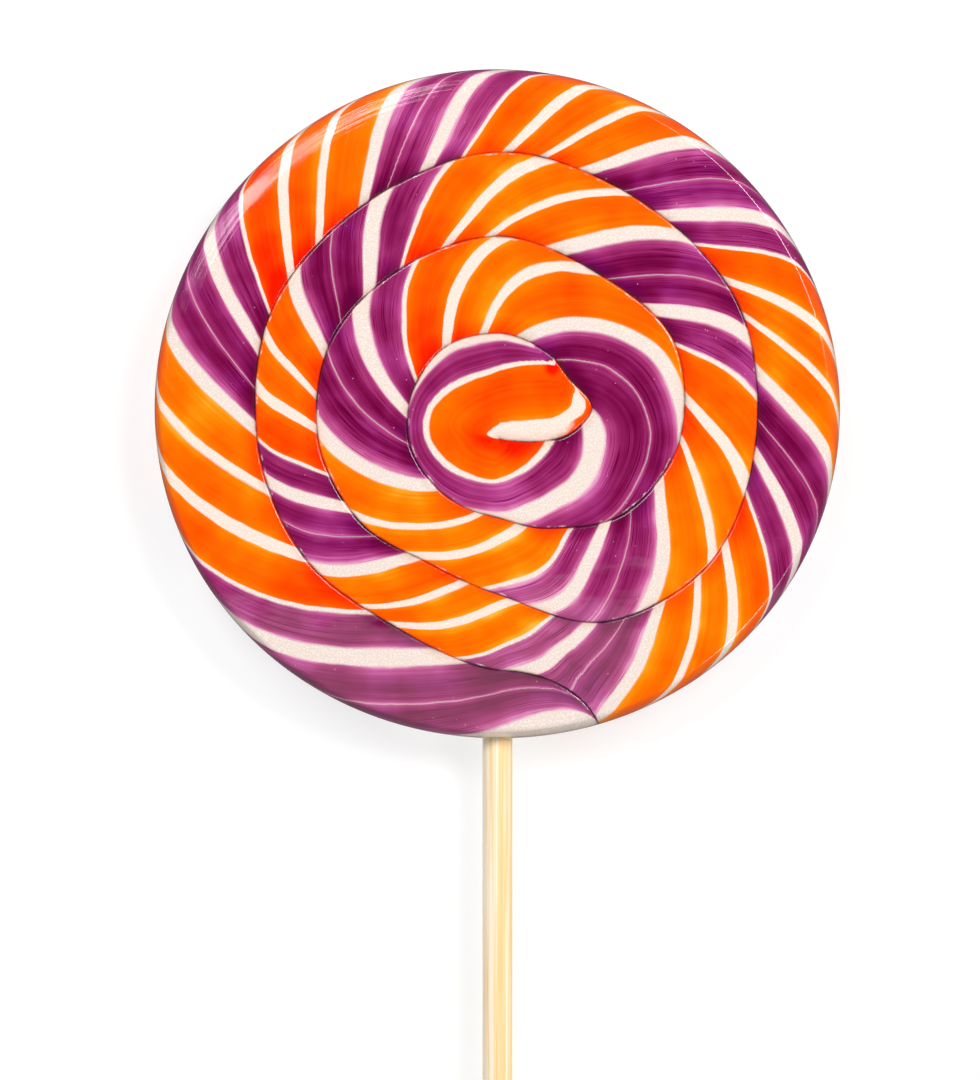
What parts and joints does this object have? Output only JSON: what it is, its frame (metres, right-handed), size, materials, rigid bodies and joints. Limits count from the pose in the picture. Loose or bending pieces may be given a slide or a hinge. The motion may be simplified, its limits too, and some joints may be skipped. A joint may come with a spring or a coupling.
{
  "type": "swirl lollipop",
  "caption": "Flat swirl lollipop: a striped rope of boiled sugar coiled into a disc on a round wooden stick, lying on its back.",
  "frame": {"origin": "on the disc's flat back face, under the middle of its outline", "axes": "+Z out of the shown side, -Y along the stick away from the candy, +X to the right of the shown side"},
  "size_m": [0.0915, 0.1843, 0.0105],
  "materials": {
    "candy": "glossy boiled sugar, striped orange, purple and white",
    "stick": "matt pale wood with straight grain"
  },
  "bodies": {
    "root": {"candy": "candy", "stick": "stick"}
  },
  "joints": []
}
